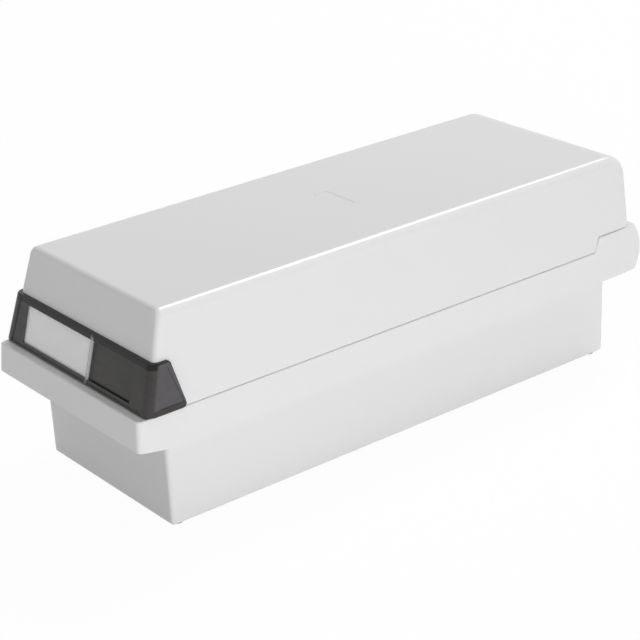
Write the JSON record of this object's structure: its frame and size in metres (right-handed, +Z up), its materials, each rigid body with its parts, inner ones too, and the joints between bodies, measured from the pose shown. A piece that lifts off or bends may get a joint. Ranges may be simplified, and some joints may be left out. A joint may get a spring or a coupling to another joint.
{
  "type": "index card box",
  "caption": "Long card index box: a tray with a grip at each end, a hinged hood with a label holder on its sloping front, and a support plate that slides inside.",
  "frame": {"origin": "centre of the box's footprint on the surface it stands on", "axes": "+Z up, the labelled front faces -Y, +X to the right seen from the front, +Y along the box to its hinges"},
  "size_m": [0.183, 0.4722, 0.1632],
  "materials": {
    "grey_plastic": "moulded, fine matte grain",
    "smoked_plastic": "smooth, smoked dark",
    "card": "plain white card",
    "clear_plastic": "clear plastic sheet",
    "plate_steel": "grey paint",
    "spring_steel": "plain spring steel",
    "hinge_steel": "zinc plated",
    "foot_rubber": "black, matte"
  },
  "bodies": {
    "base": {"base_tray": "grey_plastic", "foot_front_left": "foot_rubber", "foot_front_right": "foot_rubber", "foot_rear_left": "foot_rubber", "foot_rear_right": "foot_rubber", "hinge_left_base_leaf": "hinge_steel", "hinge_left_base_rivets": "hinge_steel", "hinge_left_pin": "hinge_steel", "hinge_right_base_leaf": "hinge_steel", "hinge_right_base_rivets": "hinge_steel", "hinge_right_pin": "hinge_steel"},
    "lid": {"lid_cover": "grey_plastic", "label_holder": "smoked_plastic", "label_window": "clear_plastic", "hinge_left_lid_leaf": "hinge_steel", "hinge_left_lid_rivets": "hinge_steel", "hinge_right_lid_leaf": "hinge_steel", "hinge_right_lid_rivets": "hinge_steel"},
    "label": {"label_card": "card"},
    "follower": {"support_plate": "plate_steel", "slider_shoe": "grey_plastic", "friction_spring": "spring_steel", "slider_rivets": "spring_steel"}
  },
  "joints": [
    {"name": "lid_hinge", "type": "hinge", "parent": "base", "child": "lid", "pos_m": [0, 0.22854, 0.10785], "axis": [-1, 0, 0], "range_deg": [0, 105]},
    {"name": "support_plate_slide", "type": "slide", "parent": "base", "child": "follower", "axis": [0, -1, 0], "range_m": [0, 0.339]},
    {"name": "label_card_slide", "type": "slide", "parent": "lid", "child": "label", "axis": [1, 0, 0], "range_m": [0, 0.052]}
  ]
}
